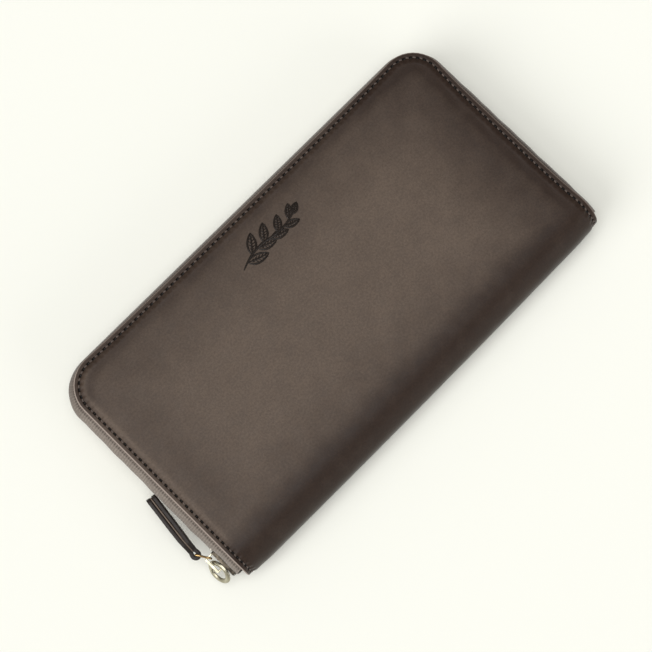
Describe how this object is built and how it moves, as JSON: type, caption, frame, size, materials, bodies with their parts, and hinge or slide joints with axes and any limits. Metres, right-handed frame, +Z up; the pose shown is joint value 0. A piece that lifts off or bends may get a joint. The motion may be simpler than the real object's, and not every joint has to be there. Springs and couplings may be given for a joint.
{
  "type": "zip around wallet",
  "caption": "Long rectangular leather wallet with a padded cover, a zip round three sides, a ring and folded strap pull, gusseted compartments, card pockets and a zipped coin pocket.",
  "frame": {"origin": "middle of the flat resting face under the back cover, halfway along the spine and halfway from the spine to the long zip side", "axes": "+X along the spine, +Y from the spine to the long zip side, +Z up through the closed wallet"},
  "size_m": [0.2086, 0.1058, 0.024],
  "materials": {
    "cover_leather": "smooth, burnished darker at the edges",
    "inner_leather": "fine grain",
    "strap_leather": "smooth, painted edge",
    "lining": "twill",
    "felt": "felt",
    "board": "bonded fibre board",
    "thread": "waxed thread",
    "zip_tape": "woven tape",
    "zip_metal": "antique",
    "slider_metal": "antique",
    "pull_metal": "antique, worn"
  },
  "bodies": {
    "back_cover": {"back_panel": "cover_leather", "spine_panel": "cover_leather", "back_edge_thread": "thread", "back_padding": "felt", "back_board": "board", "back_lining": "lining", "back_card_backing": "inner_leather", "back_card_row_1": "inner_leather", "back_card_row_2": "inner_leather", "back_card_row_3": "inner_leather", "back_card_row_4": "inner_leather", "left_gusset": "lining", "right_gusset": "lining", "back_zip_tape": "zip_tape", "back_zip_tape_ends": "zip_tape", "back_zip_teeth": "zip_metal", "back_zip_stops": "zip_metal", "front_zip_tape_ends": "zip_tape", "front_zip_stops": "zip_metal"},
    "front_cover": {"front_panel": "cover_leather", "front_edge_thread": "thread", "front_padding": "felt", "front_board": "board", "front_lining": "lining", "front_card_backing": "inner_leather", "front_card_row_1": "inner_leather", "front_card_row_2": "inner_leather", "front_card_row_3": "inner_leather", "front_card_row_4": "inner_leather", "front_zip_tape": "zip_tape", "front_zip_teeth": "zip_metal"},
    "coin_pocket": {"coin_back_wall": "inner_leather", "coin_front_wall": "inner_leather", "coin_top_strip": "inner_leather", "coin_edge": "lining", "coin_lower_tape": "zip_tape", "coin_upper_tape": "zip_tape", "coin_lower_teeth": "zip_metal", "coin_upper_teeth": "zip_metal"},
    "coin_slider": {"coin_slider": "pull_metal", "coin_slider_crown": "pull_metal"},
    "coin_puller": {"coin_puller": "pull_metal"},
    "main_slider": {"main_slider": "slider_metal", "main_slider_crown": "slider_metal"},
    "pull_ring": {"pull_ring": "pull_metal"},
    "pull_link": {"pull_link": "pull_metal"},
    "pull_strap": {"pull_strap": "strap_leather"}
  },
  "joints": [
    {"name": "cover_hinge", "type": "hinge", "parent": "back_cover", "child": "front_cover", "pos_m": [0, -0.0399, 0.012], "axis": [1, 0, 0], "range_deg": [0, 40], "deforming": ["spine_panel", "left_gusset", "right_gusset", "front_zip_tape_ends", "front_zip_stops"]},
    {"name": "coin_hinge", "type": "hinge", "parent": "back_cover", "child": "coin_pocket", "pos_m": [0, -0.0399, 0.012], "axis": [1, 0, 0], "range_deg": [0, 20]},
    {"name": "main_zip", "type": "slide", "parent": "back_cover", "child": "main_slider", "axis": [0, 1, 0], "range_m": [0, 0.07], "deforming": ["back_zip_teeth", "front_zip_teeth"]},
    {"name": "ring_swing", "type": "hinge", "parent": "main_slider", "child": "pull_ring", "pos_m": [-0.1033, -0.0386, 0.012], "axis": [0, 0, -1], "range_deg": [0, 15]},
    {"name": "link_swing", "type": "hinge", "parent": "main_slider", "child": "pull_link", "pos_m": [-0.1032, -0.0362, 0.012], "axis": [0, 0, 1], "range_deg": [0, 45]},
    {"name": "strap_swing", "type": "hinge", "parent": "pull_link", "child": "pull_strap", "pos_m": [-0.10645, -0.031, 0.012], "axis": [0, 0, 1], "range_deg": [0, 45]},
    {"name": "coin_zip", "type": "slide", "parent": "coin_pocket", "child": "coin_slider", "axis": [-1, 0, 0], "range_m": [0, 0.145], "deforming": ["coin_lower_teeth", "coin_upper_teeth"]},
    {"name": "coin_puller_lift", "type": "hinge", "parent": "coin_slider", "child": "coin_puller", "pos_m": [0.0737, 0.036, 0.0153], "axis": [0, 1, 0], "range_deg": [0, 5]}
  ],
  "couplings": [
    {"joint": "coin_hinge", "follows": "cover_hinge", "ratio": 0.5}
  ]
}
